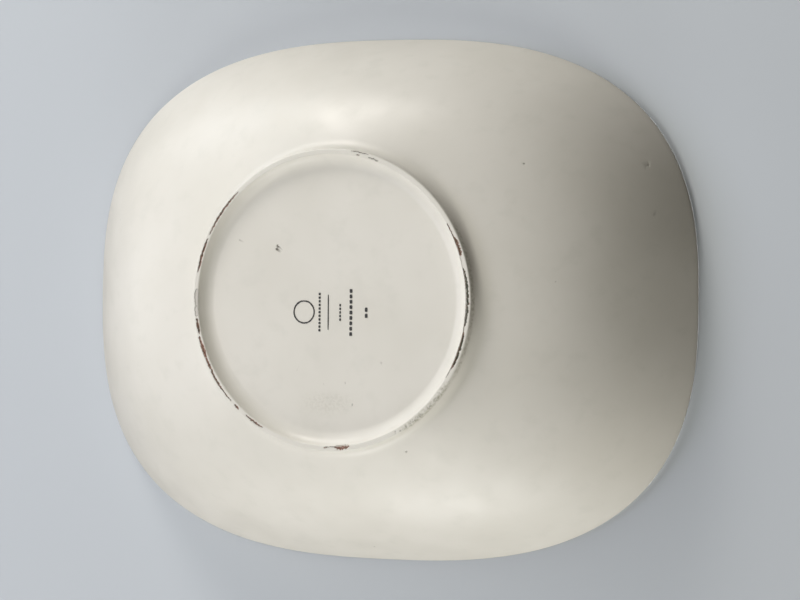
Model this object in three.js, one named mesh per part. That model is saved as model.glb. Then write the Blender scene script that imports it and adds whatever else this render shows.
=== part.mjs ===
// Glazed earthenware serving bowl: a rounded-rectangle mouth that narrows to a round foot ring.
// Units are millimetres and +Z is up. The origin is the centre of the foot ring's resting face.
// The bowl is long along X. Its clay is two pieces, the shell and the foot ring luted under it.
// Three coats of glaze cover the clay, and the foot ring's resting face stays bare.

import * as THREE from 'three';

// Driving dimensions.
const LENGTH = 300;
const WIDTH = 242;
const HEIGHT = 71;
const MOUTH_POWER = 2.7; // superellipse power of the mouth: 2 is an ellipse, more is squarer
const WALL_STRAIGHT = 0.4; // share of the wall's climb that is a straight slope
const WALL_POWER = 2.8; // the rest climbs with this power of the way out from the foot
const WALL_AT_FOOT = 5.4;
const WALL_AT_LIP = 4.2;
const GLAZE = 0.4;

// Foot ring, measured on the face of the glaze.
const FOOT_OUTER_RADIUS = 67.6;
const FOOT_INNER_RADIUS = 65;
const FLANK_HEIGHT = 0.8; // top of the foot's upright flank, where the hollow curve to the wall starts
const BASE_RADIUS = 58.5; // flat recessed base inside the foot
const BASE_HEIGHT = 4;
const BARE_HEIGHT = 0.5; // the glaze stops this far above the resting face

// Where the wall's middle line starts, over the foot, and the flat floor inside the bowl.
const WALL_START_RADIUS = 70.6;
const WALL_START_HEIGHT = 8.9;
const FLOOR_RADIUS = 56;
const FLOOR_HEIGHT = 9.5;

// Printed mark on the base: a ring and five lines, which stand proud of the glaze.
const INK = 0.15;
const MARK_CENTRE_Y = 5.5;
const MARK_RING = { x: -14, outer: 5.4, inner: 4.5 };
const MARK_LINES = [
  { x: -6.4, width: 1.6, length: 17.8 },
  { x: -2.2, width: 1.2, length: 16.2 },
  { x: 3.6, width: 1.4, length: 8 },
  { x: 8.8, width: 2, length: 21.6 },
  { x: 16.2, width: 2, length: 5.4 },
];

// How finely the curves are cut.
const AZIMUTHS = 48;
const WALL_STEPS = 8;
const MARK_RING_SIDES = 32;

// Shares of the way along the hollow curve outside the foot and along the edge of the floor.
const FILLET_AT_FOOT = [0, 0.35, 0.7];
const FILLET_AT_SHELL = [0.7, 1];
const FLOOR_EDGE = [0, 0.5, 1];

const COVE_AT_SHELL = [90, 70].map(THREE.MathUtils.degToRad);
const COVE_AT_FOOT = [70, 50].map(THREE.MathUtils.degToRad);
const OUTSIDE = -1;
const INSIDE = 1;

// The cove inside the foot is an arc from the edge of the flat base to the resting face.
const COVE_WIDTH = FOOT_INNER_RADIUS - BASE_RADIUS;
const COVE_RADIUS = (COVE_WIDTH ** 2 + BASE_HEIGHT ** 2) / (2 * BASE_HEIGHT);
const COVE_CENTRE = [BASE_RADIUS, BASE_HEIGHT - COVE_RADIUS];
const COVE_GLAZE_END = Math.asin((BARE_HEIGHT - COVE_CENTRE[1]) / COVE_RADIUS);
const COVE_CLAY_END = Math.asin(-COVE_CENTRE[1] / (COVE_RADIUS + GLAZE));

// The wall is built on its middle line, which ends at the centre of the lip.
const LIP_CENTRE_HEIGHT = HEIGHT - WALL_AT_LIP / 2;
const WALL_RISE = LIP_CENTRE_HEIGHT - WALL_START_HEIGHT;

function arcPoint([centreRadius, centreHeight], radius, angle) {
  return [centreRadius + radius * Math.cos(angle), centreHeight + radius * Math.sin(angle)];
}

// A point beside a parabola that starts towards its corner and ends coming straight from it.
function bendPoint([start, corner, end], share, toLeft) {
  const back = 1 - share;
  const blend = (axis) => back * start[axis] + 2 * share * corner[axis];
  const way = [0, 1].map(
    (axis) => back * (corner[axis] - start[axis]) + share * (end[axis] - corner[axis]),
  );
  const shift = toLeft / Math.hypot(...way);
  return [
    back * blend(0) + share * share * end[0] - shift * way[1],
    back * blend(1) + share * share * end[1] + shift * way[0],
  ];
}

// cover is the depth under the face of the glaze: 0 for the glaze, GLAZE for the clay.
function cove(angles, cover) {
  return angles.map((angle) => arcPoint(COVE_CENTRE, COVE_RADIUS + cover, angle));
}

function lipCentreRadius(azimuth) {
  const x = Math.abs(Math.cos(azimuth)) / ((LENGTH - WALL_AT_LIP) / 2);
  const y = Math.abs(Math.sin(azimuth)) / ((WIDTH - WALL_AT_LIP) / 2);
  return (x ** MOUTH_POWER + y ** MOUTH_POWER) ** (-1 / MOUTH_POWER);
}

// The middle line's angle above the horizontal, at a share of the way from foot to lip.
function wallSlope(azimuth, share) {
  const reach = lipCentreRadius(azimuth) - WALL_START_RADIUS;
  const climb = WALL_STRAIGHT + (1 - WALL_STRAIGHT) * WALL_POWER * share ** (WALL_POWER - 1);
  return Math.atan2(WALL_RISE * climb, reach);
}

function wallPoint(azimuth, share, side, cover) {
  const thickness = THREE.MathUtils.lerp(WALL_AT_FOOT, WALL_AT_LIP, share);
  const offset = side * (thickness / 2 - cover);
  const slope = wallSlope(azimuth, share);
  const radius = THREE.MathUtils.lerp(WALL_START_RADIUS, lipCentreRadius(azimuth), share);
  const climbed = WALL_STRAIGHT * share + (1 - WALL_STRAIGHT) * share ** WALL_POWER;
  const height = WALL_START_HEIGHT + WALL_RISE * climbed;
  return [radius - offset * Math.sin(slope), height + offset * Math.cos(slope)];
}

// From foot to lip.
function wall(azimuth, side, cover) {
  const shares = Array.from({ length: WALL_STEPS + 1 }, (_, step) => step / WALL_STEPS);
  return shares.map((share) => wallPoint(azimuth, share, side, cover));
}

// The hollow curve outside the foot, from its flank to the wall.
function fillet(azimuth, shares, cover) {
  const end = wallPoint(azimuth, 0, OUTSIDE, 0);
  const drop = (end[0] - FOOT_OUTER_RADIUS) * Math.tan(wallSlope(azimuth, 0));
  const flankTop = [FOOT_OUTER_RADIUS, FLANK_HEIGHT];
  const curve = [flankTop, [FOOT_OUTER_RADIUS, end[1] - drop], end];
  return shares.map((share) => bendPoint(curve, share, cover));
}

// The curve inside the bowl, from the flat floor to the wall.
function floorEdge(azimuth, shares, cover) {
  const end = wallPoint(azimuth, 0, INSIDE, 0);
  const run = (end[1] - FLOOR_HEIGHT) / Math.tan(wallSlope(azimuth, 0));
  const curve = [[FLOOR_RADIUS, FLOOR_HEIGHT], [end[0] - run, FLOOR_HEIGHT], end];
  return shares.map((share) => bendPoint(curve, share, -cover));
}

// The round of the lip between the wall's two faces, from outside to inside.
function lip(azimuth, cover) {
  const top = Math.PI / 2;
  const inside = wallSlope(azimuth, 1) + top;
  const centre = [lipCentreRadius(azimuth), LIP_CENTRE_HEIGHT];
  const angles = [0, top / 2, top, (top + inside) / 2];
  return angles.map((angle) => arcPoint(centre, WALL_AT_LIP / 2 - cover, angle));
}

// Sections run anticlockwise, with the radius to the right and the height up.
function shellSection(azimuth) {
  return [
    [0, BASE_HEIGHT + GLAZE],
    ...cove(COVE_AT_SHELL, GLAZE),
    ...fillet(azimuth, FILLET_AT_SHELL, GLAZE),
    ...wall(azimuth, OUTSIDE, GLAZE).slice(1),
    ...lip(azimuth, GLAZE),
    ...wall(azimuth, INSIDE, GLAZE).reverse(),
    ...floorEdge(azimuth, FLOOR_EDGE, GLAZE).reverse().slice(1),
    [0, FLOOR_HEIGHT - GLAZE],
  ];
}

function footSection(azimuth) {
  const flank = FOOT_OUTER_RADIUS - GLAZE;
  return [
    ...cove([COVE_CLAY_END], GLAZE),
    [flank, 0],
    [flank, BARE_HEIGHT],
    ...fillet(azimuth, FILLET_AT_FOOT, GLAZE),
    ...cove(COVE_AT_FOOT, GLAZE),
    ...cove([COVE_GLAZE_END], GLAZE),
  ];
}

function outerGlazeFace(azimuth, cover) {
  return [
    [FOOT_OUTER_RADIUS - cover, BARE_HEIGHT],
    ...fillet(azimuth, FILLET_AT_FOOT, cover),
    ...fillet(azimuth, FILLET_AT_SHELL, cover).slice(1),
    ...wall(azimuth, OUTSIDE, cover).slice(1),
    ...lip(azimuth, cover),
    wallPoint(azimuth, 1, INSIDE, cover),
  ];
}

function outerGlazeSection(azimuth) {
  return [...outerGlazeFace(azimuth, 0), ...outerGlazeFace(azimuth, GLAZE).reverse()];
}

function innerGlazeSection(azimuth) {
  return [
    [0, FLOOR_HEIGHT - GLAZE],
    ...floorEdge(azimuth, FLOOR_EDGE, GLAZE),
    ...wall(azimuth, INSIDE, GLAZE).slice(1),
    ...wall(azimuth, INSIDE, 0).reverse(),
    ...floorEdge(azimuth, FLOOR_EDGE, 0).reverse().slice(1),
    [0, FLOOR_HEIGHT],
  ];
}

function baseGlazeFace(cover) {
  return [
    [0, BASE_HEIGHT + cover],
    ...cove(COVE_AT_SHELL, cover),
    ...cove(COVE_AT_FOOT, cover).slice(1),
    ...cove([COVE_GLAZE_END], cover),
  ];
}

function baseGlazeSection() {
  return [...baseGlazeFace(0), ...baseGlazeFace(GLAZE).reverse()];
}

// A closed solid from the section at each azimuth. A section that starts and ends on the axis
// closes there, and any other closes on itself.
function loft(sectionAt) {
  const onAxis = sectionAt(0)[0][0] === 0;
  const count = sectionAt(0).length;
  const positions = [];
  for (let step = 0; step < AZIMUTHS; step += 1) {
    const azimuth = (2 * Math.PI * step) / AZIMUTHS;
    for (const [radius, height] of sectionAt(azimuth)) {
      positions.push(radius * Math.cos(azimuth), radius * Math.sin(azimuth), height);
    }
  }
  const vertex = (step, point) => {
    const isPole = onAxis && (point === 0 || point === count - 1);
    return (isPole ? 0 : (step % AZIMUTHS) * count) + point;
  };
  const heightOf = (index) => positions[3 * index + 2];
  const triangles = [];
  const addTriangle = (a, b, c) => {
    if (a !== b && b !== c && c !== a) {
      triangles.push(a, b, c);
    }
  };
  for (let step = 0; step < AZIMUTHS; step += 1) {
    for (let point = 0; point < (onAxis ? count - 1 : count); point += 1) {
      const next = (point + 1) % count;
      const corners = [vertex(step, point), vertex(step + 1, point)];
      corners.push(vertex(step + 1, next), vertex(step, next));
      // Each quad's diagonal rises with the azimuth, so faces that touch are cut the same way.
      if (heightOf(corners[0]) <= heightOf(corners[3])) {
        addTriangle(corners[0], corners[1], corners[2]);
        addTriangle(corners[0], corners[2], corners[3]);
      } else {
        addTriangle(corners[0], corners[1], corners[3]);
        addTriangle(corners[1], corners[2], corners[3]);
      }
    }
  }
  const geometry = new THREE.BufferGeometry();
  geometry.setAttribute('position', new THREE.Float32BufferAttribute(positions, 3));
  geometry.setIndex(triangles);
  geometry.computeVertexNormals();
  return geometry;
}

function inkShape(shape) {
  const settings = { depth: INK, bevelEnabled: false, curveSegments: MARK_RING_SIDES };
  return new THREE.ExtrudeGeometry(shape, settings);
}

function markRing() {
  const shape = new THREE.Shape().absarc(0, 0, MARK_RING.outer, 0, 2 * Math.PI);
  shape.holes.push(new THREE.Path().absarc(0, 0, MARK_RING.inner, 0, 2 * Math.PI));
  return inkShape(shape);
}

function markLine({ width, length }) {
  return new THREE.BoxGeometry(width, length, INK).translate(0, 0, INK / 2);
}

const clay = new THREE.MeshStandardMaterial({ color: 0x9a5a3c, roughness: 0.9, metalness: 0 });
const creamGlaze = new THREE.MeshStandardMaterial({ color: 0xeeece1, roughness: 0.3, metalness: 0 });
const ink = new THREE.MeshStandardMaterial({ color: 0x3a3b3a, roughness: 0.45, metalness: 0 });

const bowl = new THREE.Group();

function addPiece(name, geometry, material, x = 0, y = 0, z = 0) {
  const piece = new THREE.Mesh(geometry, material);
  piece.name = name;
  piece.position.set(x, y, z);
  bowl.add(piece);
}

addPiece('bowl_shell', loft(shellSection), clay);
addPiece('foot_ring', loft(footSection), clay);
addPiece('outer_glaze', loft(outerGlazeSection), creamGlaze);
addPiece('inner_glaze', loft(innerGlazeSection), creamGlaze);
addPiece('base_glaze', loft(baseGlazeSection), creamGlaze);

const inkHeight = BASE_HEIGHT - INK;
addPiece('mark_ring', markRing(), ink, MARK_RING.x, MARK_CENTRE_Y, inkHeight);
MARK_LINES.forEach((line, index) => {
  addPiece(`mark_line_${index + 1}`, markLine(line), ink, line.x, MARK_CENTRE_Y, inkHeight);
});

export default bowl;
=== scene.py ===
"""Looks for a cream-glazed earthenware serving bowl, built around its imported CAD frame.

The bowl stands upright on its foot ring, as the frame says. The camera looks up at it from
below, so it sees the outside of the wall and the recessed base. Lengths are in metres, and
azimuths run from +X towards +Y.
"""

import math
from collections import namedtuple

import bmesh
import bpy
import numpy as np
from mathutils import Matrix, Vector

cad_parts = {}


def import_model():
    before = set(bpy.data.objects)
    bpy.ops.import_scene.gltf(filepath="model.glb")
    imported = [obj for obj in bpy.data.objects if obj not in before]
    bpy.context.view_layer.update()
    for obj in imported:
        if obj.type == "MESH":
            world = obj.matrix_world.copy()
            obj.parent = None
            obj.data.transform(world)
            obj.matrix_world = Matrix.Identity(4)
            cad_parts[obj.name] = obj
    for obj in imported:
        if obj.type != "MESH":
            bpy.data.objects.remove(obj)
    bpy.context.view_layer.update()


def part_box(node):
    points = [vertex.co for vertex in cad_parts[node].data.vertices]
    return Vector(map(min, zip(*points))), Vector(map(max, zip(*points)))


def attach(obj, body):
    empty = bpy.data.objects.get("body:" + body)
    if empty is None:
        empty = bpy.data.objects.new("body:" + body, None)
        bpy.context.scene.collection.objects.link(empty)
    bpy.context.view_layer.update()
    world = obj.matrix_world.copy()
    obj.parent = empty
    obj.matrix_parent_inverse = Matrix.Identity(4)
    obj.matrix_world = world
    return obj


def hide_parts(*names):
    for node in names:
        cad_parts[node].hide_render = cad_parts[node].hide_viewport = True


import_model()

MM = 0.001
TURN = 2 * math.pi

# ---- Dimensions, from the frame and from the way the CAD part is built --------------------------
GLAZE = 0.4 * MM  # thickness of each coat
WALL_AT_FOOT = 5.4 * MM  # thickness of the wall with its glaze
WALL_AT_LIP = 4.2 * MM
MOUTH_POWER = 2.7  # of the superellipse that the mouth follows
WALL_STRAIGHT = 0.4  # share of the wall's climb that is a straight slope
WALL_POWER = 2.8  # of the curve that makes up the rest of the climb
WALL_START_RADIUS = 70.6 * MM
WALL_START_HEIGHT = 8.9 * MM
FLOOR_RADIUS = 56 * MM
FLOOR_HEIGHT = 9.5 * MM
FOOT_OUTER_RADIUS = 67.6 * MM
FOOT_INNER_RADIUS = 65 * MM
FLANK_HEIGHT = 0.8 * MM  # where the hollow curve outside the foot starts
BASE_RADIUS = 58.5 * MM

HALF_LENGTH, HALF_WIDTH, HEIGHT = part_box("outer_glaze")[1]
BASE_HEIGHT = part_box("base_glaze")[1].z - GLAZE

COVE_WIDTH = FOOT_INNER_RADIUS - BASE_RADIUS
COVE_RADIUS = (COVE_WIDTH**2 + BASE_HEIGHT**2) / (2 * BASE_HEIGHT)
COVE_CENTRE = (BASE_RADIUS, BASE_HEIGHT - COVE_RADIUS)
CREST_CENTRE = (FOOT_OUTER_RADIUS + FOOT_INNER_RADIUS) / 2
LIP_CENTRE_HEIGHT = HEIGHT - WALL_AT_LIP / 2
WALL_RISE = LIP_CENTRE_HEIGHT - WALL_START_HEIGHT

OUTSIDE = -1
INSIDE = 1
COVE_SEAM = 2.2 * MM  # height where the base's glaze meets the foot's
CREST_ROUND = 0.8 * MM  # how far the two edges of the foot's crest are rounded
GUARD = 0.05 * MM  # rings this far from a seam keep the shading the same on both sides of it
DEEP_HEIGHT = 1.6 * MM  # height of the hidden back of the outer coat on the foot
DEEP_OUTER_INSET = 1.2 * MM  # how far that back stays inside the foot's two sides
DEEP_INNER_INSET = 0.8 * MM

# How finely the surfaces are cut.
WALL_AZIMUTHS = 400
WALL_STEPS = 68
LIP_STEPS = 12
FILLET_STEPS = 14
FLOOR_STEPS = 15
FLOOR_EDGE_STEPS = 12
BASE_STEPS = 23
LOWER_COVE_POINTS = 11
UPPER_COVE_POINTS = 16
HIDDEN_COVE_POINTS = 6
CREST_INNER_EDGE_POINTS = 6
CREST_OUTER_EDGE_POINTS = 7
CREST_FLAT_STEPS = 10
FINE_ANGLE = 0.225  # degrees between grid lines along a chip
FINE_MARGIN = 1  # degrees that those lines go on past its ends
COARSE_EVERY = 3  # elsewhere, one line in this many is kept
PIT_REACH = 2.2 * MM  # faces this near a pit are cut more finely
PIT_CUTS = 4
SHARP_ANGLE = 50  # degrees; edges sharper than this are not shaded smooth

# ---- Wear ---------------------------------------------------------------------------------------
# Chips on the crest of the foot: first and last azimuth in degrees, then how far the middle of
# the chip lies outside the crest's middle line, its half width and its depth in millimetres,
# and how dirty it is.
Chip = namedtuple("Chip", "first last across half_width depth soil")
CHIPS = [
    Chip(119, 128, -0.25, 0.3, 0.55, 1.0),
    Chip(131.5, 134.2, 0.0, 0.35, 0.5, 0.95),
    Chip(136, 143, 0.15, 0.16, 0.5, 0.95),
    Chip(141.5, 150.5, 0.3, 0.38, 0.6, 1.0),
    Chip(149.5, 157, -0.05, 0.45, 0.6, 0.9),
    Chip(156, 163, -0.1, 0.75, 0.75, 0.3),
    Chip(162, 165.2, 0.1, 0.4, 0.5, 0.9),
    Chip(166, 172.2, -0.25, 0.55, 0.65, 0.9),
    Chip(172.8, 177, -0.4, 0.8, 0.2, 0.9),
    Chip(177, 184, -0.6, 0.85, 0.2, 0.9),
    Chip(190.3, 204.5, -0.2, 0.42, 0.6, 1.0),
    Chip(205.8, 227, -0.2, 0.33, 0.6, 0.95),
    Chip(278.3, 286, 0.85, 0.15, 0.5, 0.9),
    Chip(281, 282.2, -0.5, 0.2, 0.45, 0.8),
    Chip(286, 290.5, -0.5, 0.1, 0.4, 0.8),
    Chip(328.5, 336, -0.9, 0.2, 0.55, 0.95),
    Chip(334.5, 342.6, -0.65, 0.8, 0.7, 0.55),
    Chip(341.5, 348, -1.45, 0.22, 0.5, 1.0),
    Chip(347, 370, -1.0, 1.05, 0.8, 1.0),
    Chip(369, 373, -1.0, 0.16, 0.5, 0.95),
    Chip(371.5, 387, -0.7, 0.65, 0.7, 1.0),
    Chip(386, 391, -1.1, 0.1, 0.4, 0.8),
    Chip(441, 447.4, -0.9, 1.15, 0.85, 0.1),
    Chip(447, 451.5, -1.1, 0.1, 0.45, 0.8),
    Chip(450.3, 451.9, -0.65, 0.22, 0.5, 0.8),
]
CHIP_EDGE = 0.2 * MM  # how wide the broken edge of the glaze is
FLAKE_EDGE = 0.55 * MM  # the same for a flake, which does not go through the glaze
CHIP_GRAIN = 0.11 * MM  # how ragged the edges are, and the size of their teeth
CHIP_GRAIN_SIZE = 0.45 * MM
CHIP_WIDTH_VARIES = 0.3  # how uneven a chip's width is, as a share of it
CHIP_WIDTH_WAVES = (90, 900)  # the slowest and fastest of the waves that make it so
CHIP_MIDDLE_VARIES = 0.1 * MM  # how far a chip's middle line wanders
CHIP_MIDDLE_WAVES = (40, 300)
CHIP_TAPER = 0.1  # a chip is this share of its full width where its ends fade out
CHIP_FLOOR_VARIES = 0.2  # how uneven its depth is, as a share of it
CHIP_FLOOR_SIZE = 0.5 * MM
STAIN_EDGE = 1.8 * MM  # how far a chip's dirt fades out over the glaze beside it
STAIN = 0.3  # how strong that dirt is beside the chip's own
# The depth at which the glaze starts to be thin, or gone, and how much deeper it fully is.
THINNING = (0.2 * MM, 0.15 * MM)
GONE = (0.36 * MM, 0.04 * MM)
GONE_UNDER = 0.25 * MM  # how much deeper the glaze's mesh goes where it is gone
CLAY_ROUGH = 0.05 * MM  # height and size of the clay's grain inside a chip
CLAY_ROUGH_SIZE = 0.35 * MM

# Stretches of glaze round the foot painted dull grey. The first is worn glaze over the crest, and
# the second is painted shade in the hollow corner just outside the foot. Each gives first and last
# azimuth in degrees, then how far the stretch's middle lies outside the crest's, its half width
# and its edge in millimetres, and how strong the dull grey is.
Stretch = namedtuple("Stretch", "first last across half_width edge strength")
WORN_AND_SHADED_STRETCHES = [
    Stretch(390, 421, 1.5, 3.2, 2.4, 1.0),
    # Painted shade: a dark grey band in the corner between the foot and the wall, on the side away
    # from the light.
    Stretch(326, 392, 3.2, 2.6, 2.0, 0.8),
]
STRETCH_ENDS = 6  # degrees over which a stretch fades out at each end

# The faint smudge on the recessed base.
SMUDGE_MIDDLE = (-2 * MM, 46 * MM)
SMUDGE_HALF_SIZES = (18 * MM, 7 * MM)
SMUDGE_FADE = 0.8  # share of those sizes over which it fades out
SMUDGE_STRENGTH = 0.24

# Pits and specks in the glaze: azimuth in degrees, place, radius and depth in millimetres, and
# how dark it is. On the wall the place is the share of the way up from the foot, and on the base
# it is the distance from the centre in millimetres.
Pit = namedtuple("Pit", "azimuth place radius depth soil")
WALL_PITS = [
    Pit(62.8, 0.06, 0.55, 0.15, 0.55),
    Pit(89.5, 0.855, 0.5, 0.1, 0.5),
    Pit(196.2, 0.738, 0.4, 0.1, 0.35),
    Pit(324.2, 0.415, 0.5, 0.2, 0.9),
    Pit(334.8, 0.888, 0.9, 0.3, 0.6),
    Pit(343.8, 0.85, 0.6, 0.12, 0.3),
    Pit(354.8, 0.372, 0.35, 0.1, 0.35),
]
BASE_PITS = [
    Pit(219.2, 35.8, 0.75, 0.25, 1.0),
    Pit(221.2, 36.1, 0.75, 0.25, 1.0),
    Pit(210.0, 53.2, 0.4, 0.1, 0.4),
    Pit(96.0, 37.8, 0.4, 0.08, 0.35),
    Pit(80.2, 37.4, 0.3, 0.08, 0.4),
    Pit(78.2, 47.6, 0.45, 0.1, 0.55),
    Pit(49.5, 36.4, 0.5, 0.06, 0.3),
    Pit(118.5, 35.9, 0.3, 0.06, 0.3),
]
PIT_RAGGED = 0.3  # how ragged a pit's edge is, as a share of its radius
PIT_RAGGED_SIZE = 0.5 * MM
PIT_RIM = 1.3  # where a pit's edge ends, as a share of its radius

# Small pits along the worn stretch of the crest: azimuths in degrees, how far outside the crest's
# middle line they lie on average and how widely that varies, radius in millimetres, and dirt.
CREST_PITS = 34
CREST_PIT_AZIMUTHS = (391, 421)
CREST_PIT_ACROSS = (0.7 * MM, 0.6 * MM)
CREST_PIT_RADII = (0.15, 0.4)
CREST_PIT_DEPTH = 0.15 * MM
CREST_PIT_SOIL = (0.2, 0.6)

# The glaze's uneven thickness: how deep and how broad its hollows are, and how far from the
# cove's seam they fade out.
UNDULATION = 0.03 * MM
UNDULATION_SIZE = 22 * MM
UNDULATION_FADE = 1.8 * MM

WOBBLE_WAVES = 14  # the most waves that add up to an uneven curve
MOTTLE_WAVES = 24  # the waves that add up to smooth noise

# Seeds of the random draws. Each chip has two of its own: CHIP_SEED plus 10 times its place in
# the list, and the next. The mark's lines and the edges of its ring are numbered from 1.
UNDULATION_SEED = 3
PIT_SEED = 5
CHIP_FLOOR_SEED = 7
CLAY_SEED = 11
CHIP_GRAIN_SEED = 17
CREST_PIT_SEED = 21
CHIP_SEED = 100


# ---- Section of the bowl ------------------------------------------------------------------------
def lip_centre_radius(azimuth):
    x = np.abs(np.cos(azimuth)) / (HALF_LENGTH - WALL_AT_LIP / 2)
    y = np.abs(np.sin(azimuth)) / (HALF_WIDTH - WALL_AT_LIP / 2)
    return (x**MOUTH_POWER + y**MOUTH_POWER) ** (-1 / MOUTH_POWER)


def wall_slope(azimuth, share):
    reach = lip_centre_radius(azimuth) - WALL_START_RADIUS
    climb = WALL_STRAIGHT + (1 - WALL_STRAIGHT) * WALL_POWER * share ** (WALL_POWER - 1)
    return np.arctan2(WALL_RISE * climb, reach)


def wall_point(azimuth, share, side, cover):
    """Radius and height on one face of the wall, cover deep under the glaze's face."""
    thickness = WALL_AT_FOOT + (WALL_AT_LIP - WALL_AT_FOOT) * share
    offset = side * (thickness / 2 - cover)
    slope = wall_slope(azimuth, share)
    reach = lip_centre_radius(azimuth) - WALL_START_RADIUS
    radius = WALL_START_RADIUS + reach * share - offset * np.sin(slope)
    climbed = WALL_STRAIGHT * share + (1 - WALL_STRAIGHT) * share**WALL_POWER
    return radius, WALL_START_HEIGHT + WALL_RISE * climbed + offset * np.cos(slope)


def arc_point(centre, radius, angle):
    return centre[0] + radius * np.cos(angle), centre[1] + radius * np.sin(angle)


def lip_point(azimuth, turn, cover):
    """The round of the lip: turn is -90 degrees at the wall's outside and 90 at its inside."""
    centre = (lip_centre_radius(azimuth), LIP_CENTRE_HEIGHT)
    return arc_point(centre, WALL_AT_LIP / 2 - cover, wall_slope(azimuth, 1.0) + turn)


def rounded(before, corner, after, radius, count):
    """Points of the arc that rounds a corner between two straight or nearly straight runs."""
    before, corner, after = (np.array(point) for point in (before, corner, after))
    towards = (before - corner) / np.linalg.norm(before - corner)
    onward = (after - corner) / np.linalg.norm(after - corner)
    half = math.acos(np.clip(towards @ onward, -1, 1)) / 2
    bisector = (towards + onward) / np.linalg.norm(towards + onward)
    middle = corner + bisector * radius / math.sin(half)
    start = corner + towards * radius / math.tan(half) - middle
    end = corner + onward * radius / math.tan(half) - middle
    turn = math.pi - 2 * half
    points = []
    for share in np.linspace(0, 1, count):
        weights = math.sin((1 - share) * turn), math.sin(share * turn)
        points.append(middle + (weights[0] * start + weights[1] * end) / math.sin(turn))
    return points


def cove_arc(cover, high, low, count):
    """Points of the cove between two heights above the resting face, on the glaze's face."""
    angles = [math.asin((height - COVE_CENTRE[1]) / COVE_RADIUS) for height in (high, low)]
    radius = COVE_RADIUS + cover
    return [arc_point(COVE_CENTRE, radius, angle) for angle in np.linspace(*angles, count)]


def cove_point(cover, height):
    return cove_arc(cover, height, height, 1)[0]


def bend_point(start, corner, end, share, to_left):
    """A point beside a parabola that starts towards its corner and ends coming from it."""
    back = 1 - share
    spots, ways = [], []
    for a, b, c in zip(start, corner, end):
        spots.append(back * back * a + 2 * back * share * b + share * share * c)
        ways.append(back * (b - a) + share * (c - b))
    shift = to_left / np.hypot(*ways)
    return spots[0] - shift * ways[1], spots[1] + shift * ways[0]


def fillet_point(azimuth, share, cover):
    """The hollow curve outside the foot, from its flank to the wall."""
    end = wall_point(azimuth, 0, OUTSIDE, 0)
    drop = (end[0] - FOOT_OUTER_RADIUS) * np.tan(wall_slope(azimuth, 0))
    corner = (FOOT_OUTER_RADIUS, end[1] - drop)
    return bend_point((FOOT_OUTER_RADIUS, FLANK_HEIGHT), corner, end, share, cover)


def floor_edge_point(azimuth, share, cover):
    """The curve inside the bowl, from the flat floor to the wall."""
    end = wall_point(azimuth, 0, INSIDE, 0)
    run = (end[1] - FLOOR_HEIGHT) / np.tan(wall_slope(azimuth, 0))
    corner = (end[0] - run, FLOOR_HEIGHT)
    return bend_point((FLOOR_RADIUS, FLOOR_HEIGHT), corner, end, share, -cover)


def crest_section(cover):
    """The foot ring from its inner side, at the cove's seam, over the crest to its flank."""
    cove = cove_arc(cover, COVE_SEAM, CREST_ROUND, LOWER_COVE_POINTS)
    guard = cove_point(cover, COVE_SEAM - GUARD)
    inner_corner = (FOOT_INNER_RADIUS + cover / 2, cover)
    outer_corner = (FOOT_OUTER_RADIUS - cover, cover)
    rounding = CREST_ROUND - cover / 2
    inner = rounded(cove[-1], inner_corner, outer_corner, rounding, CREST_INNER_EDGE_POINTS)
    above = (outer_corner[0], FLANK_HEIGHT + cover)
    outer = rounded(inner_corner, outer_corner, above, rounding, CREST_OUTER_EDGE_POINTS)
    gaps = np.linspace(0, 1, CREST_FLAT_STEPS + 1)[1:-1]
    flat = [inner[-1] + (outer[0] - inner[-1]) * gap for gap in gaps]
    return [cove[0], guard, *cove[1:-1], *inner, *flat, *outer]


# ---- Meshes -------------------------------------------------------------------------------------
def evenly(count):
    return np.arange(count) * TURN / count


def angle_between(azimuth, other):
    return (azimuth - other + math.pi) % TURN - math.pi


def span(first, last, margin=0):
    """The middle and half the extent of a stretch of azimuths that is given in degrees."""
    return math.radians((first + last) / 2), math.radians((last - first) / 2 + margin)


def foot_azimuths():
    """Grid lines round the foot, close together along the chips and the small pits."""
    degrees = np.arange(round(360 / FINE_ANGLE)) * FINE_ANGLE
    lines = np.radians(degrees)
    keep = np.arange(len(degrees)) % COARSE_EVERY == 0
    stretches = [(chip.first, chip.last) for chip in CHIPS] + [CREST_PIT_AZIMUTHS]
    for first, last in stretches:
        middle, half = span(first, last, FINE_MARGIN)
        keep |= np.abs(angle_between(lines, middle)) < half
    return lines[keep]


def ring(azimuths, radius, height):
    """A closed ring of points round the axis."""
    radius = np.broadcast_to(radius, azimuths.shape)
    height = np.broadcast_to(height, azimuths.shape)
    points = [radius * np.cos(azimuths), radius * np.sin(azimuths), height]
    return azimuths, np.stack(points, axis=1)


def pole(height):
    return np.zeros(1), np.array([[0.0, 0.0, height]])


def join_rings(azimuths_a, start_a, azimuths_b, start_b):
    """Faces between two rings. Rings cut alike are joined by quads, others by triangles."""
    count_a, count_b = len(azimuths_a), len(azimuths_b)
    if count_a == count_b and count_a > 1:
        here = np.arange(count_a)
        after = (here + 1) % count_a
        quads = [start_a + here, start_a + after, start_b + after, start_b + here]
        return np.stack(quads, axis=1).tolist()
    ends_a = np.append(azimuths_a[1:], TURN) if count_a > 1 else np.array([])
    ends_b = np.append(azimuths_b[1:], TURN) if count_b > 1 else np.array([])
    faces = []
    a = b = 0
    while a < len(ends_a) or b < len(ends_b):
        reach_a = ends_a[a] if a < len(ends_a) else math.inf
        reach_b = ends_b[b] if b < len(ends_b) else math.inf
        now_a, now_b = start_a + a % count_a, start_b + b % count_b
        if reach_a <= reach_b:
            a += 1
            faces.append([now_a, start_a + a % count_a, now_b])
        else:
            b += 1
            faces.append([now_a, start_b + b % count_b, now_b])
    return faces


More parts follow.
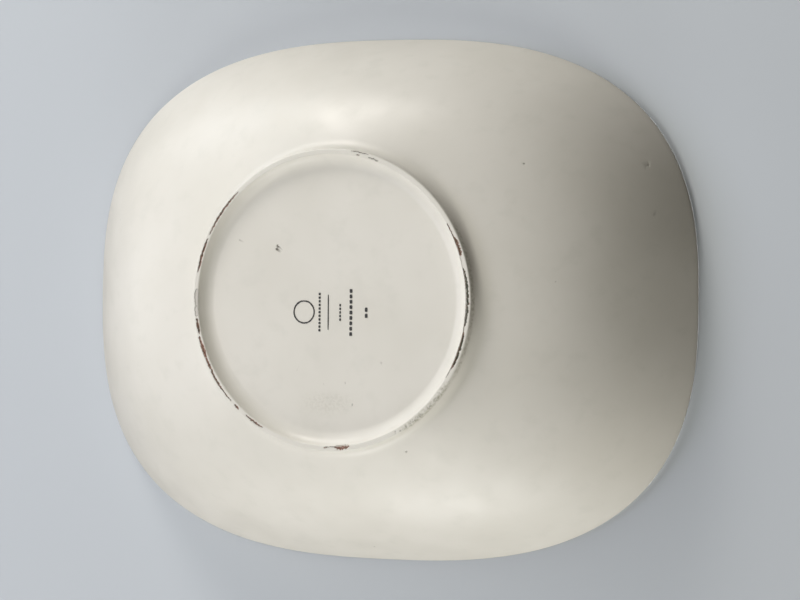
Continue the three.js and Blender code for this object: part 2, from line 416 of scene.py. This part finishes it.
def foot_rings(azimuths, cover):
    """From the cove's seam over the crest to the start of the wall."""
    rings = [ring(azimuths, *point) for point in crest_section(cover)]
    for share in np.linspace(0, 1, FILLET_STEPS + 1)[1:]:
        rings.append(ring(azimuths, *fillet_point(azimuths, share, cover)))
    return rings


def add_object(name, data):
    item = bpy.data.objects.new(name, data)
    bpy.context.scene.collection.objects.link(item)
    return item


def loft(name, rings, closed, shown):
    """A solid from rings whose section runs anticlockwise. closed joins the last to the first.

    shown is the range of rings that lie on the face that can be seen.
    """
    starts = np.cumsum([0] + [len(points) for _, points in rings])
    faces = []
    for index in range(len(rings) if closed else len(rings) - 1):
        after = (index + 1) % len(rings)
        faces += join_rings(rings[index][0], starts[index], rings[after][0], starts[after])
    mesh = bpy.data.meshes.new(name)
    mesh.from_pydata(np.concatenate([points for _, points in rings]), [], faces)
    on_face = np.zeros(starts[-1])
    on_face[starts[shown.start] : starts[shown.stop]] = 1
    set_values(mesh, "on_face", on_face)
    return add_object(name, mesh)


def set_values(mesh, name, values):
    """Keeps a number for each point of the mesh, or the same number for all of them."""
    attribute = mesh.attributes.new(name, "FLOAT", "POINT")
    attribute.data.foreach_set("value", np.full(len(mesh.vertices), values, np.float32))


def set_wear_and_shade(piece, soil, thin=0, worn_and_shaded=0):
    """What the glaze's material reads: how dirty and how thin the glaze is, and how strongly its
    dull grey is painted, as wear and as painted shade.
    """
    for name, values in (("soil", soil), ("thin", thin), ("worn_and_shaded", worn_and_shaded)):
        set_values(piece.data, name, values)


def get_values(mesh, name):
    values = np.empty(len(mesh.vertices), np.float32)
    mesh.attributes[name].data.foreach_get("value", values)
    return values


def get_points(mesh):
    points = np.empty(len(mesh.vertices) * 3, np.float32)
    mesh.vertices.foreach_get("co", points)
    return points.reshape(-1, 3).astype(float)


def sink(piece, depths):
    """Moves each shown point into the piece, by its own depth."""
    mesh = piece.data
    normals = np.empty(len(mesh.vertices) * 3, np.float32)
    mesh.vertex_normals.foreach_get("vector", normals)
    depths = depths * get_values(mesh, "on_face")
    points = get_points(mesh) - normals.reshape(-1, 3) * depths[:, None]
    mesh.vertices.foreach_set("co", points.astype(np.float32).ravel())
    mesh.update()


def refine(piece, places, reach, cuts):
    """Cuts the faces near each place more finely."""
    work = bmesh.new()
    work.from_mesh(piece.data)
    for place in places:
        near = [face for face in work.faces if (face.verts[0].co - place).length < reach]
        edges = {edge for face in near for edge in face.edges}
        bmesh.ops.subdivide_edges(work, edges=list(edges), cuts=cuts, use_grid_fill=True)
    work.to_mesh(piece.data)
    work.free()


def finish_shading(piece):
    """Smooth, but for sharp edges."""
    piece.data.shade_smooth()
    piece.data.set_sharp_from_angle(angle=math.radians(SHARP_ANGLE))


# ---- Wear, as depths under the sound glaze ------------------------------------------------------
def smooth(share):
    share = np.clip(share, 0, 1)
    return share * share * (3 - 2 * share)


def wobble(azimuth, seed, slowest, fastest):
    """A ragged periodic curve of the azimuth, mostly between -1 and 1.

    The slowest and the fastest of its waves are given as how many go round.
    """
    draws = np.random.default_rng(seed)
    waves = np.unique(np.geomspace(slowest, fastest, WOBBLE_WAVES).astype(int))
    total = sum(np.cos(wave * azimuth + draws.uniform(0, TURN)) for wave in waves)
    return total / math.sqrt(len(waves))


def mottle(points, seed, size):
    """Smooth noise in space, mostly between -1 and 1, with features of about the given size."""
    draws = np.random.default_rng(seed)
    total = np.zeros(len(points))
    for _ in range(MOTTLE_WAVES):
        direction = draws.normal(size=3)
        direction /= np.linalg.norm(direction)
        length = 2 * size * draws.uniform(0.7, 1.6)
        total += np.cos(points @ direction * TURN / length + draws.uniform(0, TURN))
    return total / math.sqrt(MOTTLE_WAVES)


def foot_place(points):
    """Azimuth, and the distance along the foot's surface outwards from the crest's middle."""
    azimuth = np.arctan2(points[:, 1], points[:, 0]) % TURN
    offset = np.hypot(points[:, 0], points[:, 1]) - CREST_CENTRE
    return azimuth, np.sign(offset) * (np.abs(offset) + points[:, 2])


def chip_reach(chip, seed, azimuth, across, edge_width):
    """0 on sound glaze and 1 inside the chip, with an edge of the given width between them."""
    middle, half = span(chip.first, chip.last)
    along = np.abs(angle_between(azimuth, middle)) / half
    taper = np.clip(1 - along**3, 0, 1) ** 0.7
    uneven = 1 + CHIP_WIDTH_VARIES * wobble(azimuth, seed, *CHIP_WIDTH_WAVES)
    width = chip.half_width * MM * taper * uneven
    wander = CHIP_MIDDLE_VARIES * wobble(azimuth, seed + 1, *CHIP_MIDDLE_WAVES)
    from_middle = np.abs(across - (chip.across * MM + wander))
    inwards = (width + edge_width / 2 - from_middle) / edge_width
    return smooth(taper / CHIP_TAPER) * smooth(inwards)


def chip_wear(points):
    """Depth of the chips on the foot, and how dirty they are inside and along their edges."""
    azimuth, across = foot_place(points)
    across = across + CHIP_GRAIN * mottle(points, CHIP_GRAIN_SEED, CHIP_GRAIN_SIZE)
    depth = np.zeros(len(points))
    soil = np.zeros(len(points))
    outline = np.zeros(len(points))
    for index, chip in enumerate(CHIPS):
        through = chip.depth * MM > GLAZE
        edge_width = CHIP_EDGE if through else FLAKE_EDGE
        seed = CHIP_SEED + 10 * index
        reach = chip_reach(chip, seed, azimuth, across, edge_width)
        stain = chip_reach(chip, seed, azimuth, across, STAIN_EDGE)
        this = chip.depth * MM * reach
        soil = np.where(this > depth, chip.soil * smooth(1.2 * reach) if through else 0, soil)
        # Dirt collects half way across the edge, and fades out beyond it.
        outline = np.maximum(outline, 4 * reach * (1 - reach) * chip.soil)
        outline = np.maximum(outline, STAIN * stain * chip.soil)
        depth = np.maximum(depth, this)
    uneven = 1 + CHIP_FLOOR_VARIES * mottle(points, CHIP_FLOOR_SEED, CHIP_FLOOR_SIZE)
    return depth * uneven, soil, outline


def crest_wear_and_shade(points):
    """Up to 1 in the stretches painted dull grey: worn glaze on the crest, and painted shade in
    the corner outside the foot.
    """
    azimuth, across = foot_place(points)
    worn_and_shaded = np.zeros(len(points))
    for stretch in WORN_AND_SHADED_STRETCHES:
        middle, half = span(stretch.first, stretch.last)
        from_end = half - np.abs(angle_between(azimuth, middle))
        from_edge = stretch.half_width * MM - np.abs(across - stretch.across * MM)
        reach = smooth(from_end / math.radians(STRETCH_ENDS))
        reach = reach * smooth(from_edge / (stretch.edge * MM))
        worn_and_shaded = np.maximum(worn_and_shaded, stretch.strength * reach)
    return worn_and_shaded


def base_wear(points):
    """Up to SMUDGE_STRENGTH in the smudge on the base."""
    offsets = (points[:, :2] - SMUDGE_MIDDLE) / SMUDGE_HALF_SIZES
    from_middle = np.hypot(offsets[:, 0], offsets[:, 1])
    return SMUDGE_STRENGTH * smooth((1 - from_middle) / SMUDGE_FADE)


def made_pit(azimuth, radius, height, size, depth, soil):
    """A pit's place in space, then its radius, its depth and how dark it is."""
    place = Vector((radius * math.cos(azimuth), radius * math.sin(azimuth), height))
    return place, size, depth, soil


def crest_pits():
    draws = np.random.default_rng(CREST_PIT_SEED)
    pits = []
    for _ in range(CREST_PITS):
        azimuth = math.radians(draws.uniform(*CREST_PIT_AZIMUTHS))
        radius = CREST_CENTRE + draws.normal(*CREST_PIT_ACROSS)
        size = draws.uniform(*CREST_PIT_RADII) * MM
        soil = draws.uniform(*CREST_PIT_SOIL)
        pits.append(made_pit(azimuth, radius, 0, size, CREST_PIT_DEPTH, soil))
    return pits


def wall_pits():
    pits = []
    for pit in WALL_PITS:
        azimuth = math.radians(pit.azimuth)
        spot = wall_point(azimuth, pit.place, OUTSIDE, 0)
        pits.append(made_pit(azimuth, *spot, pit.radius * MM, pit.depth * MM, pit.soil))
    return pits


def base_pits():
    pits = []
    for pit in BASE_PITS:
        azimuth = math.radians(pit.azimuth)
        spot = (pit.place * MM, BASE_HEIGHT)
        pits.append(made_pit(azimuth, *spot, pit.radius * MM, pit.depth * MM, pit.soil))
    return pits


def pit_wear(points, pits):
    """Depth of the pits, and how dirty they are."""
    depth = np.zeros(len(points))
    soil = np.zeros(len(points))
    ragged = PIT_RAGGED * mottle(points, PIT_SEED, PIT_RAGGED_SIZE)
    for place, radius, deepest, darkness in pits:
        distance = np.linalg.norm(points - np.array(place), axis=1) / radius
        hollow = smooth(PIT_RIM - distance - ragged)
        depth = np.maximum(depth, deepest * hollow)
        soil = np.maximum(soil, darkness * hollow)
    return depth, soil


def undulation(points):
    """The glaze's uneven thickness: a shallow depth that varies over some centimetres.

    It fades out towards the cove's seam, so the two coats stay level there.
    """
    fade = smooth(np.abs(points[:, 2] - COVE_SEAM) / UNDULATION_FADE)
    hollows = 2 + np.clip(mottle(points, UNDULATION_SEED, UNDULATION_SIZE), -2, 2)
    return UNDULATION * fade * hollows


# ---- Pieces -------------------------------------------------------------------------------------
def outer_coat():
    """Glaze over the foot's crest, the outside of the wall and the lip."""
    foot_lines = foot_azimuths()
    wall_lines = evenly(WALL_AZIMUTHS)
    rings = foot_rings(foot_lines, 0)
    shares = np.linspace(0, 1, WALL_STEPS + 1)[1:]
    rings += [ring(wall_lines, *wall_point(wall_lines, share, OUTSIDE, 0)) for share in shares]
    turns = np.linspace(-math.pi / 2, math.pi / 2, LIP_STEPS + 1)
    rings += [ring(wall_lines, *lip_point(wall_lines, turn, 0)) for turn in turns[1:]]
    shown = range(0, len(rings))
    # The coat's back is hidden, so fewer rings are enough there.
    rings += [ring(wall_lines, *lip_point(wall_lines, turn, GLAZE)) for turn in turns[::-3]]
    for share in shares[::-6][1:]:
        rings.append(ring(wall_lines, *wall_point(wall_lines, share, OUTSIDE, GLAZE)))
    rings.append(ring(wall_lines, *fillet_point(wall_lines, 1, GLAZE)))
    rings.append(ring(wall_lines, *fillet_point(wall_lines, 0.5, 2 * GLAZE)))
    rings.append(ring(wall_lines, FOOT_OUTER_RADIUS - DEEP_OUTER_INSET, DEEP_HEIGHT))
    rings.append(ring(wall_lines, FOOT_INNER_RADIUS + DEEP_INNER_INSET, DEEP_HEIGHT))
    rings.append(ring(foot_lines, *cove_point(GLAZE, COVE_SEAM)))
    piece = loft("outer_coat", rings, True, shown)
    pits = wall_pits()
    refine(piece, [place for place, *_ in pits], PIT_REACH, PIT_CUTS)
    points = get_points(piece.data)
    depth, soil, outline = chip_wear(points)
    pit_depth, pit_soil = pit_wear(points, pits + crest_pits())
    thin = smooth((depth - THINNING[0]) / THINNING[1]) * (1 - soil) ** 3
    # The last value carries the worn glaze and the painted shade in the corner outside the foot.
    set_wear_and_shade(piece, np.maximum.reduce([soil, outline, pit_soil]), thin, crest_wear_and_shade(points))
    # Where the glaze is gone, its mesh passes just under the clay's.
    under = GONE_UNDER * smooth((depth - GONE[0]) / GONE[1])
    sink(piece, depth + under + pit_depth + undulation(points) * (depth == 0))
    return piece


def base_coat():
    """Glaze over the recessed base and most of the cove."""
    foot_lines = foot_azimuths()
    base_lines = evenly(WALL_AZIMUTHS)
    rings = [pole(BASE_HEIGHT)]
    for radius in np.linspace(0, BASE_RADIUS, BASE_STEPS + 1)[1:-1]:
        rings.append(ring(base_lines, radius, BASE_HEIGHT))
    cove = cove_arc(0, BASE_HEIGHT, COVE_SEAM + GUARD, UPPER_COVE_POINTS)
    rings += [ring(base_lines, *point) for point in cove[:-1]]
    rings.append(ring(foot_lines, *cove[-1]))
    rings.append(ring(foot_lines, *cove_point(0, COVE_SEAM)))
    shown = range(0, len(rings))
    back = cove_arc(GLAZE, COVE_SEAM, BASE_HEIGHT, HIDDEN_COVE_POINTS)
    rings.append(ring(foot_lines, *back[0]))
    rings += [ring(base_lines, *point) for point in back[1:]]
    rings.append(pole(BASE_HEIGHT + GLAZE))
    piece = loft("base_coat", rings, False, shown)
    pits = base_pits()
    refine(piece, [place for place, *_ in pits], PIT_REACH, PIT_CUTS)
    points = get_points(piece.data)
    depth, soil = pit_wear(points, pits)
    set_wear_and_shade(piece, soil, worn_and_shaded=base_wear(points))
    sink(piece, depth + undulation(points))
    return piece


def inner_coat():
    """Glaze over the inside of the bowl, up to the lip."""
    lines = evenly(WALL_AZIMUTHS)
    shares = np.linspace(0, 1, WALL_STEPS + 1)
    edge_shares = np.linspace(0, 1, FLOOR_EDGE_STEPS + 1)
    # The back comes first here. It is hidden, so fewer rings are enough.
    rings = [pole(FLOOR_HEIGHT - GLAZE)]
    rings += [ring(lines, *floor_edge_point(lines, share, GLAZE)) for share in edge_shares[::3]]
    rings += [ring(lines, *wall_point(lines, share, INSIDE, GLAZE)) for share in shares[4::4]]
    hidden = len(rings)
    rings += [ring(lines, *wall_point(lines, share, INSIDE, 0)) for share in shares[::-1]]
    for share in edge_shares[-2::-1]:
        rings.append(ring(lines, *floor_edge_point(lines, share, 0)))
    for radius in np.linspace(FLOOR_RADIUS, 0, FLOOR_STEPS + 1)[1:-1]:
        rings.append(ring(lines, radius, FLOOR_HEIGHT))
    rings.append(pole(FLOOR_HEIGHT))
    piece = loft("inner_coat", rings, False, range(hidden, len(rings)))
    set_wear_and_shade(piece, 0)
    sink(piece, undulation(get_points(piece.data)))
    return piece


def foot_clay():
    """Clay of the foot ring, seen where the glaze has chipped away."""
    lines = foot_azimuths()
    back_lines = evenly(WALL_AZIMUTHS)
    rings = foot_rings(lines, GLAZE)
    shown = range(0, len(rings))
    rings.append(ring(back_lines, *wall_point(back_lines, 0, OUTSIDE, 2 * GLAZE)))
    rings.append(ring(back_lines, FOOT_INNER_RADIUS, BASE_HEIGHT))
    piece = loft("foot_clay", rings, True, shown)
    points = get_points(piece.data)
    depth, soil, _ = chip_wear(points)
    grain = np.clip(mottle(points, CLAY_SEED, CLAY_ROUGH_SIZE), -1, 1)
    rough = CLAY_ROUGH * (1 + grain) * (depth > 0)
    set_values(piece.data, "soil", soil)
    sink(piece, np.maximum(depth - GLAZE, 0) + rough)
    return piece


def shell_clay():
    """Clay of the base, the wall and the lip, all under glaze."""
    lines = evenly(WALL_AZIMUTHS // 2)
    shares = np.linspace(0, 1, WALL_STEPS // 2 + 1)
    rings = [pole(BASE_HEIGHT + GLAZE)]
    rings.append(ring(lines, BASE_RADIUS, BASE_HEIGHT + GLAZE))
    rings += [ring(lines, *wall_point(lines, share, OUTSIDE, GLAZE)) for share in shares]
    turns = np.linspace(-math.pi / 2, math.pi / 2, LIP_STEPS + 1)
    rings += [ring(lines, *lip_point(lines, turn, GLAZE)) for turn in turns[1:-1]]
    rings += [ring(lines, *wall_point(lines, share, INSIDE, GLAZE)) for share in shares[::-1]]
    for share in np.linspace(1, 0, FLOOR_EDGE_STEPS // 2 + 1)[1:]:
        rings.append(ring(lines, *floor_edge_point(lines, share, GLAZE)))
    rings.append(pole(FLOOR_HEIGHT - GLAZE))
    piece = loft("shell_clay", rings, False, range(0, len(rings)))
    set_values(piece.data, "soil", 0)
    return piece


# ---- The printed mark: a ring and five ruled lines, with no lettering ---------------------------
INK_PROUD = 0.04 * MM
INK_SUNK = 0.12 * MM
# For each line, the number of its dashes, and their thickness as a share of the CAD line's.
MARK_LINES = [(11, 0.68), (1, 0.5), (5, 0.62), (9, 0.7), (2, 0.68)]
DASH_HALF_LENGTH = 0.36  # as a share of the distance from one dash to the next
DASH_POINTS = 28
DASH_POWER = 0.45  # below 1, a dash is squarer than an ellipse
DASH_WIDTHS = (0.86, 1)  # how much a dash's outline varies
DASH_LENGTHS = (0.95, 1)
RING_POINTS = 160
RING_EDGES = (0.8 * MM, 0.15 * MM)  # how far its two edges lie inside the CAD ring's outer one
RING_VARIES = 0.05 * MM  # how uneven they are
RING_WAVES = (3, 40)


def ink_solid(name, outlines):
    """Flat patches of ink, each a closed solid that is sunk in the glaze but for its face."""
    work = bmesh.new()
    for outline in outlines:
        low = [work.verts.new((x, y, BASE_HEIGHT - INK_PROUD)) for x, y in outline]
        high = [work.verts.new((x, y, BASE_HEIGHT + INK_SUNK)) for x, y in outline]
        work.faces.new(low[::-1])
        work.faces.new(high)
        for index in range(len(outline)):
            after = (index + 1) % len(outline)
            work.faces.new((low[index], low[after], high[after], high[index]))
    mesh = bpy.data.meshes.new(name)
    work.to_mesh(mesh)
    work.free()
    return add_object(name, mesh)


def dash(x, y, half_width, half_length, draws):
    """A short stroke of ink with rounded ends and slightly uneven sides."""
    points = []
    for step in range(DASH_POINTS):
        angle = step * TURN / DASH_POINTS
        across = math.copysign(abs(math.cos(angle)) ** DASH_POWER, math.cos(angle))
        along = math.copysign(abs(math.sin(angle)) ** DASH_POWER, math.sin(angle))
        points.append((
            x + half_width * across * draws.uniform(*DASH_WIDTHS),
            y + half_length * along * draws.uniform(*DASH_LENGTHS),
        ))
    return points


def mark_line(node, seed, dashes, thickness):
    """A ruled line of dashes down the middle of a CAD mark line."""
    low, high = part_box(node)
    draws = np.random.default_rng(seed)
    pitch = (high.y - low.y) / dashes
    half_length = pitch * (0.5 if dashes == 1 else DASH_HALF_LENGTH)
    half_width = thickness / 2 * (high.x - low.x)
    x = (low.x + high.x) / 2
    outlines = []
    for index in range(dashes):
        y = low.y + pitch * (index + 0.5)
        outlines.append(dash(x, y, half_width, half_length, draws))
    return ink_solid(node + "_ink", outlines)


def mark_ring():
    """A ring of ink with slightly uneven edges."""
    low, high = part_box("mark_ring")
    centre = (low + high) / 2
    outer = (high.x - low.x) / 2
    azimuths = evenly(RING_POINTS)
    edges = []
    for seed, inset in enumerate(RING_EDGES, 1):
        uneven = RING_VARIES * wobble(azimuths, seed, *RING_WAVES)
        edges.append(outer - inset + uneven)
    face, back = BASE_HEIGHT - INK_PROUD, BASE_HEIGHT + INK_SUNK
    rings = [ring(azimuths, edge, face) for edge in edges]
    rings += [ring(azimuths, edge, back) for edge in edges[::-1]]
    piece = loft("mark_ring_ink", rings, True, range(0, len(rings)))
    piece.data.transform(Matrix.Translation((centre.x, centre.y, 0)))
    return piece


# ---- Materials ----------------------------------------------------------------------------------
CREAM_DARK = (0.785, 0.764, 0.704, 1)
CREAM_LIGHT = (0.825, 0.804, 0.749, 1)
GLAZE_GREY = (0.72, 0.71, 0.65, 1)
GLAZE_SPECK = (0.42, 0.39, 0.33, 1)
GLAZE_THIN = (0.62, 0.46, 0.38, 1)
# Dull grey of worn glaze, also painted as shade in the corner outside the foot.
GLAZE_WORN_AND_SHADE = (0.36, 0.34, 0.26, 1)
GLAZE_DIRT = (0.085, 0.074, 0.054, 1)
CLAY_DARK = (0.29, 0.15, 0.11, 1)
CLAY_LIGHT = (0.47, 0.29, 0.24, 1)
CLAY_DIRT = (0.066, 0.084, 0.055, 1)
INK = (0.03, 0.031, 0.031, 1)
INK_WORN = (0.2, 0.195, 0.175, 1)


class Tree:
    """A material's nodes, with short ways to add and join them."""

    def __init__(self, name):
        self.material = bpy.data.materials.new(name)
        self.material.use_nodes = True
        self.nodes = self.material.node_tree.nodes
        self.links = self.material.node_tree.links
        self.shader = self.nodes["Principled BSDF"]
        self.place = self.nodes.new("ShaderNodeTexCoord").outputs["Object"]

    def put(self, socket, value):
        if isinstance(value, bpy.types.NodeSocket):
            self.links.new(value, socket)
        else:
            socket.default_value = value

    def noise(self, size, detail=2.0):
        node = self.nodes.new("ShaderNodeTexNoise")
        node.inputs["Scale"].default_value = 1 / size
        node.inputs["Detail"].default_value = detail
        self.links.new(self.place, node.inputs["Vector"])
        return node.outputs["Fac"]

    def specks(self, spacing, radius, share):
        """1 inside small dots, of which only a share of the grid's cells has one."""
        node = self.nodes.new("ShaderNodeTexVoronoi")
        node.inputs["Scale"].default_value = 1 / spacing
        self.links.new(self.place, node.inputs["Vector"])
        dot = self.between(node.outputs["Distance"], radius / spacing, radius / spacing / 2)
        chosen = self.between(node.outputs["Color"], 1 - share, 1.02 - share)
        return self.maths("MULTIPLY", dot, chosen)

    def value(self, name):
        node = self.nodes.new("ShaderNodeAttribute")
        node.attribute_name = name
        return node.outputs["Fac"]

    def between(self, value, start, end, low=0.0, high=1.0):
        """Runs from low to high as the value goes from start to end."""
        node = self.nodes.new("ShaderNodeMapRange")
        node.interpolation_type = "SMOOTHSTEP"
        names = ("From Min", "From Max", "To Min", "To Max")
        for name, number in zip(names, (start, end, low, high)):
            node.inputs[name].default_value = number
        self.put(node.inputs["Value"], value)
        return node.outputs["Result"]

    def maths(self, operation, first, second):
        node = self.nodes.new("ShaderNodeMath")
        node.operation = operation
        self.put(node.inputs[0], first)
        self.put(node.inputs[1], second)
        return node.outputs[0]

    def mix(self, share, first, second):
        node = self.nodes.new("ShaderNodeMix")
        node.data_type = "RGBA"
        for index, value in ((0, share), (6, first), (7, second)):
            self.put(node.inputs[index], value)
        return node.outputs[2]

    def bump(self, height, depth, normal=None):
        node = self.nodes.new("ShaderNodeBump")
        node.inputs["Strength"].default_value = 1.0
        node.inputs["Distance"].default_value = depth
        self.put(node.inputs["Height"], height)
        if normal:
            self.put(node.inputs["Normal"], normal)
        return node.outputs["Normal"]


def glaze_material():
    tree = Tree("cream_glaze")
    soil = tree.value("soil")
    thin = tree.value("thin")
    clouds = tree.between(tree.noise(45 * MM, 3.0), 0.3, 0.7)
    colour = tree.mix(clouds, CREAM_DARK, CREAM_LIGHT)
    grey = tree.between(tree.noise(9 * MM, 4.0), 0.5, 0.75, 0.0, 0.3)
    colour = tree.mix(grey, colour, GLAZE_GREY)
    specks = tree.specks(9 * MM, 0.3 * MM, 0.16)
    colour = tree.mix(tree.maths("MULTIPLY", specks, 0.5), colour, GLAZE_SPECK)
    colour = tree.mix(tree.maths("MULTIPLY", thin, 0.6), colour, GLAZE_THIN)
    patches = tree.between(tree.noise(1.3 * MM, 4.0), 0.38, 0.66, 0.12, 0.7)
    # Dull grey patches: worn glaze, painted shade outside the foot, and the smudge on the base.
    colour = tree.mix(tree.maths("MULTIPLY", tree.value("worn_and_shaded"), patches), colour, GLAZE_WORN_AND_SHADE)
    dirt = tree.maths("MULTIPLY", soil, tree.between(tree.noise(0.7 * MM), 0.3, 0.6, 0.75, 1.0))
    colour = tree.mix(dirt, colour, GLAZE_DIRT)
    tree.put(tree.shader.inputs["Base Color"], colour)
    satin = tree.between(tree.noise(14 * MM, 3.0), 0.3, 0.7, 0.37, 0.47)
    roughness = tree.maths("MAXIMUM", satin, tree.maths("MULTIPLY", soil, 0.75))
    tree.put(tree.shader.inputs["Roughness"], roughness)
    ripple = tree.bump(tree.noise(3.5 * MM, 2.0), 0.02 * MM)
    tree.put(tree.shader.inputs["Normal"], tree.bump(specks, 0.03 * MM, ripple))
    return tree.material


def clay_material():
    tree = Tree("red_clay")
    grain = tree.noise(0.6 * MM, 4.0)
    colour = tree.mix(tree.between(grain, 0.35, 0.65), CLAY_DARK, CLAY_LIGHT)
    patches = tree.between(tree.noise(1.2 * MM, 3.0), 0.36, 0.6, 0.9, 1.0)
    dirt = tree.maths("MULTIPLY", tree.value("soil"), patches)
    colour = tree.mix(dirt, colour, CLAY_DIRT)
    tree.put(tree.shader.inputs["Base Color"], colour)
    tree.shader.inputs["Roughness"].default_value = 0.9
    tree.put(tree.shader.inputs["Normal"], tree.bump(grain, 0.08 * MM))
    return tree.material


def ink_material():
    tree = Tree("fired_ink")
    gaps = tree.between(tree.noise(0.5 * MM, 3.0), 0.55, 0.7)
    colour = tree.mix(gaps, INK, INK_WORN)
    tree.put(tree.shader.inputs["Base Color"], colour)
    tree.put(tree.shader.inputs["Roughness"], tree.between(gaps, 0, 1, 0.4, 0.6))
    return tree.material


def one_sided(name, colour):
    """A matt surface that is seen only from the side that it faces."""
    tree = Tree(name)
    tree.shader.inputs["Base Color"].default_value = colour
    tree.shader.inputs["Roughness"].default_value = 0.6
    side = tree.nodes.new("ShaderNodeNewGeometry")
    clear = tree.nodes.new("ShaderNodeBsdfTransparent")
    mix = tree.nodes.new("ShaderNodeMixShader")
    tree.put(mix.inputs[0], side.outputs["Backfacing"])
    tree.put(mix.inputs[1], tree.shader.outputs[0])
    tree.put(mix.inputs[2], clear.outputs[0])
    tree.put(tree.nodes["Material Output"].inputs["Surface"], mix.outputs[0])
    return tree.material


# ---- Stage, lights and camera -------------------------------------------------------------------
STAGE_HALF_SIZE = 1.3
STAGE_GAP = 0.3 * MM  # between the bowl and each of the two planes
LIGHT_DISTANCE = 1.6
SKY_COLOUR = (0.80, 0.84, 0.9, 1)
SKY_ON_BOWL = 0.02  # how strongly the sky lights the bowl, and how bright it is to the camera
SKY_SEEN = 0.5


def stage_plane(name, height, faces_up, colour):
    """A level plane that the camera sees from one side, and that the bowl doesn't reflect."""
    size = STAGE_HALF_SIZE
    corners = [(-size, -size), (size, -size), (size, size), (-size, size)]
    mesh = bpy.data.meshes.new(name)
    face = [0, 1, 2, 3] if faces_up else [3, 2, 1, 0]
    mesh.from_pydata([(x, y, height) for x, y in corners], [], [face])
    plane = add_object(name, mesh)
    mesh.materials.append(one_sided(name + "_paint", colour))
    plane.visible_shadow = False
    plane.visible_diffuse = False
    plane.visible_glossy = False
    plane.visible_transmission = False


def way_to(azimuth, elevation):
    """The way to something seen from the bowl. Below the horizon the elevation is negative."""
    azimuth, elevation = math.radians(azimuth), math.radians(elevation)
    level = math.cos(elevation)
    return Vector((level * math.cos(azimuth), level * math.sin(azimuth), math.sin(elevation)))


def soft_light(name, azimuth, elevation, size, watts, colour):
    """A square soft light that faces the bowl."""
    way = way_to(azimuth, elevation)
    data = bpy.data.lights.new(name, "AREA")
    data.size = size
    data.energy = watts
    data.color = colour
    light = add_object(name, data)
    light.location = LIGHT_DISTANCE * way + Vector((0, 0, HEIGHT / 2))
    light.rotation_euler = (-way).to_track_quat("-Z", "Y").to_euler()
    light.visible_camera = False


def camera():
    """The camera, fitted to the outline of the bowl and its foot in the photograph."""
    distance = 1.398
    roll = math.radians(0.51)
    target = Vector((4.8 * MM, 0.1 * MM, HEIGHT))
    back = way_to(-0.9, -67.6)
    right = (-back).cross(Vector((0, -1, 0))).normalized()
    up = right.cross(-back)
    rolled_right = math.cos(roll) * right + math.sin(roll) * up
    rolled_up = math.cos(roll) * up - math.sin(roll) * right
    data = bpy.data.cameras.new("camera")
    data.lens = 135
    data.sensor_width = 36
    data.clip_end = 50
    view = add_object("camera", data)
    axes = Matrix((rolled_right, rolled_up, back)).transposed()
    view.matrix_world = Matrix.Translation(target + distance * back) @ axes.to_4x4()
    bpy.context.scene.camera = view


def world():
    """A pale backdrop for the camera, which lights the bowl only faintly."""
    sky = bpy.data.worlds.new("world")
    bpy.context.scene.world = sky
    sky.use_nodes = True
    background = sky.node_tree.nodes["Background"]
    background.inputs["Color"].default_value = SKY_COLOUR
    path = sky.node_tree.nodes.new("ShaderNodeLightPath")
    strength = sky.node_tree.nodes.new("ShaderNodeMapRange")
    strength.inputs["To Min"].default_value = SKY_ON_BOWL
    strength.inputs["To Max"].default_value = SKY_SEEN
    sky.node_tree.links.new(path.outputs["Is Camera Ray"], strength.inputs["Value"])
    sky.node_tree.links.new(strength.outputs["Result"], background.inputs["Strength"])


bpy.context.scene.view_settings.view_transform = "Standard"
camera()
world()
stage_plane("floor", -STAGE_GAP, True, (0.8, 0.82, 0.84, 1))
stage_plane("table", HEIGHT + STAGE_GAP, False, (0.56, 0.60, 0.65, 1))
# Each light's azimuth and elevation in degrees, its size in metres, its watts and its colour.
soft_light("window_left", 225, -10, 0.9, 6.7, (0.88, 0.94, 1))
soft_light("window_far", 250, -20, 0.45, 11.6, (1, 0.95, 0.88))
soft_light("key_far", 210, -45, 0.9, 8.0, (1, 1, 0.93))
soft_light("key_left", 170, -45, 0.45, 4.2, (0.84, 0.82, 1))
soft_light("key_near", 90, -45, 0.45, 5.7, (1, 0.98, 0.9))
soft_light("key_right", 0, -65, 0.9, 2.4, (1, 0.97, 0.86))
soft_light("panel_near", 90, -10, 0.9, 13.7, (1, 1, 0.97))
soft_light("panel_right", 45, -10, 0.9, 1.5, (1, 0.88, 0.68))
soft_light("glint_left", 182, -5, 0.2, 1.5, (1, 1, 1))
soft_light("top_softbox", 0, 90, 1.2, 14, (1, 1, 1))

pieces = [
    (outer_coat(), "outer_glaze", "glaze"),
    (base_coat(), "base_glaze", "glaze"),
    (inner_coat(), "inner_glaze", "glaze"),
    (foot_clay(), "foot_ring", "clay"),
    (shell_clay(), "bowl_shell", "clay"),
    (mark_ring(), "mark_ring", "ink"),
]
for number, (dashes, thickness) in enumerate(MARK_LINES, 1):
    line = f"mark_line_{number}"
    pieces.append((mark_line(line, number, dashes, thickness), line, "ink"))
finishes = {"glaze": glaze_material(), "clay": clay_material(), "ink": ink_material()}
for piece, node, slot in pieces:
    piece.data.materials.append(finishes[slot])
    finish_shading(piece)
    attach(piece, "root")
    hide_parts(node)
